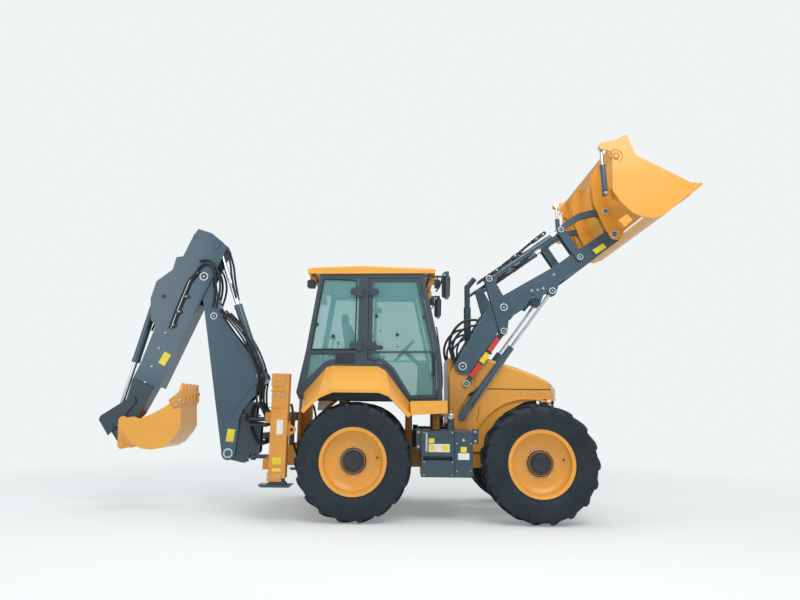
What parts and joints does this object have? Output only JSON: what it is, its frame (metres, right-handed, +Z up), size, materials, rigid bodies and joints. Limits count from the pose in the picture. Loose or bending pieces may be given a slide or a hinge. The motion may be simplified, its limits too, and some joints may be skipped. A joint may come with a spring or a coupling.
{
  "type": "backhoe loader",
  "caption": "Backhoe loader with equal steered wheels, glazed cab, front bucket on parallel arms, and a side-shifting rear digging arm with an extending stick.",
  "frame": {"origin": "on the ground, under the middle of the whole machine's bounding box as parked with its arms raised", "axes": "+X towards the front bucket, +Y to the machine's left, +Z up"},
  "size_m": [7.51, 2.262, 4.6238],
  "materials": {
    "blue_steel": "satin",
    "yellow_paint": "satin",
    "dark_frame": "satin",
    "cab_grey": "satin",
    "rim_yellow": "satin",
    "tyre": "matte",
    "glass": "polished",
    "black_plastic": "matte",
    "red_paint": "satin",
    "barrel_paint": "gloss",
    "chrome_rod": "polished",
    "bare_steel": "brushed"
  },
  "bodies": {
    "chassis": {"frame": "yellow_paint", "rear_frame": "yellow_paint", "drivetrain": "dark_frame", "cab_shell": "cab_grey", "cab_roof": "yellow_paint", "cab_glass": "glass", "cab_interior": "black_plastic", "body_panels": "yellow_paint", "side_tanks": "dark_frame", "exhaust": "black_plastic", "grille": "black_plastic"},
    "hood": {"hood": "yellow_paint"},
    "door_right": {"door_right": "cab_grey", "door_right_glass": "glass"},
    "door_left": {"door_left": "cab_grey", "door_left_glass": "glass"},
    "loader_arms": {"loader_arms": "blue_steel"},
    "rockers": {"rockers": "blue_steel"},
    "levelling_links": {"levelling_links": "red_paint"},
    "lever_pins": {"lever_pins": "bare_steel"},
    "front_levers": {"front_levers": "blue_steel"},
    "bucket_links": {"bucket_links": "barrel_paint"},
    "tilt_barrels": {"tilt_barrels": "barrel_paint"},
    "tilt_rods": {"tilt_rods": "chrome_rod"},
    "link_pins": {"link_pins": "bare_steel"},
    "lift_barrels": {"lift_barrels": "barrel_paint"},
    "lift_rods": {"lift_rods": "chrome_rod"},
    "bucket_pins": {"bucket_pins": "bare_steel"},
    "loader_bucket": {"bucket_back": "yellow_paint"},
    "bucket_jaw": {"bucket_jaw": "yellow_paint"},
    "jaw_barrels": {"jaw_barrels": "barrel_paint"},
    "jaw_rods": {"jaw_rods": "chrome_rod"},
    "carriage": {"carriage": "blue_steel"},
    "kingpost": {"kingpost": "blue_steel"},
    "boom": {"boom": "blue_steel"},
    "boom_barrel": {"boom_barrel": "barrel_paint"},
    "boom_rod": {"boom_rod": "chrome_rod"},
    "dipper": {"dipper": "blue_steel"},
    "dipper_barrel": {"dipper_barrel": "barrel_paint"},
    "dipper_rod": {"dipper_rod": "chrome_rod"},
    "stick": {"stick": "blue_steel"},
    "crowd_barrel": {"crowd_barrel": "barrel_paint"},
    "crowd_rod": {"crowd_rod": "chrome_rod"},
    "tipping_lever": {"tipping_lever": "dark_frame"},
    "tipping_link": {"tipping_link": "blue_steel"},
    "hoe_bucket": {"hoe_bucket": "yellow_paint"},
    "leg_right": {"leg_right": "blue_steel"},
    "leg_left": {"leg_left": "blue_steel"},
    "knuckle_rear_right": {"knuckle_rear_right": "dark_frame"},
    "wheel_rear_right": {"rim_rear_right": "rim_yellow", "tyre_rear_right": "tyre"},
    "knuckle_rear_left": {"knuckle_rear_left": "dark_frame"},
    "wheel_rear_left": {"rim_rear_left": "rim_yellow", "tyre_rear_left": "tyre"},
    "knuckle_front_right": {"knuckle_front_right": "dark_frame"},
    "wheel_front_right": {"rim_front_right": "rim_yellow", "tyre_front_right": "tyre"},
    "knuckle_front_left": {"knuckle_front_left": "dark_frame"},
    "wheel_front_left": {"rim_front_left": "rim_yellow", "tyre_front_left": "tyre"}
  },
  "joints": [
    {"name": "steer_rear_right", "type": "hinge", "parent": "chassis", "child": "knuckle_rear_right", "pos_m": [-0.405, -0.7, 0.67], "axis": [0, 0, 1], "range_deg": [-17, 17]},
    {"name": "spin_rear_right", "type": "hinge", "parent": "knuckle_rear_right", "child": "wheel_rear_right", "pos_m": [-0.405, -0.864, 0.67], "axis": [0, 1, 0], "continuous": true},
    {"name": "steer_rear_left", "type": "hinge", "parent": "chassis", "child": "knuckle_rear_left", "pos_m": [-0.405, 0.7, 0.67], "axis": [0, 0, 1], "range_deg": [-17, 17]},
    {"name": "spin_rear_left", "type": "hinge", "parent": "knuckle_rear_left", "child": "wheel_rear_left", "pos_m": [-0.405, 0.864, 0.67], "axis": [0, 1, 0], "continuous": true},
    {"name": "steer_front_right", "type": "hinge", "parent": "chassis", "child": "knuckle_front_right", "pos_m": [1.727, -0.7, 0.67], "axis": [0, 0, 1], "range_deg": [-17, 17]},
    {"name": "spin_front_right", "type": "hinge", "parent": "knuckle_front_right", "child": "wheel_front_right", "pos_m": [1.727, -0.864, 0.67], "axis": [0, 1, 0], "continuous": true},
    {"name": "steer_front_left", "type": "hinge", "parent": "chassis", "child": "knuckle_front_left", "pos_m": [1.727, 0.7, 0.67], "axis": [0, 0, 1], "range_deg": [-17, 17]},
    {"name": "spin_front_left", "type": "hinge", "parent": "knuckle_front_left", "child": "wheel_front_left", "pos_m": [1.727, 0.864, 0.67], "axis": [0, 1, 0], "continuous": true},
    {"name": "door_right_swing", "type": "hinge", "parent": "chassis", "child": "door_right", "pos_m": [-0.339, -0.714, 2.331], "axis": [0, 0, -1], "range_deg": [0, 90]},
    {"name": "door_left_swing", "type": "hinge", "parent": "chassis", "child": "door_left", "pos_m": [-0.339, 0.714, 2.331], "axis": [0, 0, 1], "range_deg": [0, 90]},
    {"name": "hood_lift", "type": "hinge", "parent": "chassis", "child": "hood", "pos_m": [1.075, 0, 1.9], "axis": [0, -1, 0], "range_deg": [0, 50]},
    {"name": "loader_lift", "type": "hinge", "parent": "chassis", "child": "loader_arms", "pos_m": [0.894, 0, 1.794], "axis": [0, -1, 0], "range_deg": [-76, 0]},
    {"name": "rocker_turn", "type": "hinge", "parent": "loader_arms", "child": "rockers", "pos_m": [1.419, 0, 2.545], "axis": [0, -1, 0], "range_deg": [0, 57.2]},
    {"name": "levelling_link_turn", "type": "hinge", "parent": "chassis", "child": "levelling_links", "pos_m": [0.941, 0, 1.583], "axis": [0, -1, 0], "range_deg": [-84.2, 0]},
    {"name": "lift_barrel_turn", "type": "hinge", "parent": "chassis", "child": "lift_barrels", "pos_m": [0.89, 0, 1.193], "axis": [0, -1, 0], "range_deg": [-67.3, 0]},
    {"name": "lift_rod_slide", "type": "slide", "parent": "lift_barrels", "child": "lift_rods", "axis": [0.5909, 0, 0.8068], "range_m": [-0.77, 0]},
    {"name": "tilt_barrel_turn", "type": "hinge", "parent": "rockers", "child": "tilt_barrels", "pos_m": [1.24, 0, 2.914], "axis": [0, -1, 0], "range_deg": [-61, 0]},
    {"name": "tilt_rod_slide", "type": "slide", "parent": "tilt_barrels", "child": "tilt_rods", "axis": [0.8165, 0, 0.5773], "range_m": [-0.034, 0.308]},
    {"name": "lever_pin_turn", "type": "hinge", "parent": "loader_arms", "child": "lever_pins", "pos_m": [2.416, 0, 3.216], "axis": [0, -1, 0], "range_deg": [0, 60.9]},
    {"name": "lever_turn", "type": "hinge", "parent": "lever_pins", "child": "front_levers", "pos_m": [2.416, 0, 3.216], "axis": [0, -1, 0], "range_deg": [-45.1, 4.9]},
    {"name": "bucket_pin_turn", "type": "hinge", "parent": "loader_arms", "child": "bucket_pins", "pos_m": [2.873, 0, 3.527], "axis": [0, -1, 0], "range_deg": [0, 76.1]},
    {"name": "bucket_tilt", "type": "hinge", "parent": "bucket_pins", "child": "loader_bucket", "pos_m": [2.873, 0, 3.527], "axis": [0, -1, 0], "range_deg": [-75, 8]},
    {"name": "link_pin_turn", "type": "hinge", "parent": "loader_bucket", "child": "link_pins", "pos_m": [2.772, 0, 3.838], "axis": [0, -1, 0], "range_deg": [-70.6, 0]},
    {"name": "bucket_link_turn", "type": "hinge", "parent": "link_pins", "child": "bucket_links", "pos_m": [2.772, 0, 3.838], "axis": [0, -1, 0], "range_deg": [-6.2, 57.4]},
    {"name": "jaw_open", "type": "hinge", "parent": "loader_bucket", "child": "bucket_jaw", "pos_m": [2.714, 0, 4.335], "axis": [0, -1, 0], "range_deg": [0, 55]},
    {"name": "jaw_barrel_turn", "type": "hinge", "parent": "loader_bucket", "child": "jaw_barrels", "pos_m": [2.585, 0, 3.88], "axis": [0, -1, 0], "range_deg": [0, 6.9]},
    {"name": "jaw_rod_slide", "type": "slide", "parent": "jaw_barrels", "child": "jaw_rods", "axis": [-0.0478, 0, 0.9989], "range_m": [-0.18, 0]},
    {"name": "carriage_slide", "type": "slide", "parent": "chassis", "child": "carriage", "axis": [0, 1, 0], "range_m": [-0.55, 0.55]},
    {"name": "swing", "type": "hinge", "parent": "carriage", "child": "kingpost", "pos_m": [-1.767, 0, 0.87], "axis": [0, 0, 1], "range_deg": [-90, 90]},
    {"name": "boom_turn", "type": "hinge", "parent": "kingpost", "child": "boom", "pos_m": [-2.067, 0, 0.677], "axis": [0, -1, 0], "range_deg": [0, 95]},
    {"name": "boom_barrel_turn", "type": "hinge", "parent": "kingpost", "child": "boom_barrel", "pos_m": [-1.825, 0, 1.235], "axis": [0, -1, 0], "range_deg": [0, 93.7]},
    {"name": "boom_rod_slide", "type": "slide", "parent": "boom_barrel", "child": "boom_rod", "axis": [-0.4119, 0, 0.9112], "range_m": [0, 0.897]},
    {"name": "dipper_turn", "type": "hinge", "parent": "boom", "child": "dipper", "pos_m": [-2.534, 0, 2.976], "axis": [0, -1, 0], "range_deg": [-115, 0]},
    {"name": "dipper_barrel_turn", "type": "hinge", "parent": "boom", "child": "dipper_barrel", "pos_m": [-1.718, 0, 1.666], "axis": [0, -1, 0], "range_deg": [0, 4.2]},
    {"name": "dipper_rod_slide", "type": "slide", "parent": "dipper_barrel", "child": "dipper_rod", "axis": [-0.3644, 0, 0.9313], "range_m": [-0.758, 0]},
    {"name": "stick_slide", "type": "slide", "parent": "dipper", "child": "stick", "axis": [-0.3724, 0, -0.9281], "range_m": [0, 0.9]},
    {"name": "hoe_bucket_turn", "type": "hinge", "parent": "stick", "child": "hoe_bucket", "pos_m": [-3.43, 0, 1.067], "axis": [0, -1, 0], "range_deg": [-150, 0]},
    {"name": "tipping_lever_turn", "type": "hinge", "parent": "stick", "child": "tipping_lever", "pos_m": [-3.35, 0, 1.329], "axis": [0, -1, 0], "range_deg": [-96.1, 0]},
    {"name": "tipping_link_turn", "type": "hinge", "parent": "tipping_lever", "child": "tipping_link", "pos_m": [-3.598, 0, 1.005], "axis": [0, -1, 0], "range_deg": [0, 60.1]},
    {"name": "crowd_barrel_turn", "type": "hinge", "parent": "stick", "child": "crowd_barrel", "pos_m": [-3.179, 0, 2.767], "axis": [0, -1, 0], "range_deg": [-8.7, 0]},
    {"name": "crowd_rod_slide", "type": "slide", "parent": "crowd_barrel", "child": "crowd_rod", "axis": [-0.2313, 0, -0.9729], "range_m": [-0.564, 0]},
    {"name": "leg_right_slide", "type": "slide", "parent": "chassis", "child": "leg_right", "axis": [0, 0, -1], "range_m": [0, 0.55]},
    {"name": "leg_left_slide", "type": "slide", "parent": "chassis", "child": "leg_left", "axis": [0, 0, -1], "range_m": [0, 0.55]}
  ],
  "couplings": [
    {"joint": "steer_front_left", "follows": "steer_front_right", "ratio": 1},
    {"joint": "steer_rear_left", "follows": "steer_rear_right", "ratio": 1},
    {"joint": "rocker_turn", "follows": "loader_lift", "ratio": -0.751},
    {"joint": "levelling_link_turn", "follows": "loader_lift", "ratio": 1.107},
    {"joint": "lift_barrel_turn", "follows": "loader_lift", "ratio": 0.884},
    {"joint": "lift_rod_slide", "follows": "loader_lift", "m_per_rad": 0.579},
    {"joint": "tilt_barrel_turn", "follows": "loader_lift", "ratio": 0.8},
    {"joint": "tilt_rod_slide", "follows": "bucket_tilt", "m_per_rad": -0.235},
    {"joint": "lever_pin_turn", "follows": "loader_lift", "ratio": -0.8},
    {"joint": "lever_turn", "follows": "bucket_tilt", "ratio": 0.6},
    {"joint": "bucket_pin_turn", "follows": "loader_lift", "ratio": -1},
    {"joint": "link_pin_turn", "follows": "loader_lift", "ratio": 0.928},
    {"joint": "bucket_link_turn", "follows": "bucket_tilt", "ratio": -0.764},
    {"joint": "jaw_barrel_turn", "follows": "jaw_open", "ratio": 0.124},
    {"joint": "jaw_rod_slide", "follows": "jaw_open", "m_per_rad": -0.1866},
    {"joint": "boom_barrel_turn", "follows": "boom_turn", "ratio": 0.985},
    {"joint": "boom_rod_slide", "follows": "boom_turn", "m_per_rad": 0.54},
    {"joint": "dipper_barrel_turn", "follows": "dipper_turn", "ratio": -0.036},
    {"joint": "dipper_rod_slide", "follows": "dipper_turn", "m_per_rad": 0.377},
    {"joint": "tipping_lever_turn", "follows": "hoe_bucket_turn", "ratio": 0.64},
    {"joint": "tipping_link_turn", "follows": "hoe_bucket_turn", "ratio": -0.4},
    {"joint": "crowd_barrel_turn", "follows": "hoe_bucket_turn", "ratio": 0.057},
    {"joint": "crowd_rod_slide", "follows": "hoe_bucket_turn", "m_per_rad": 0.215}
  ]
}
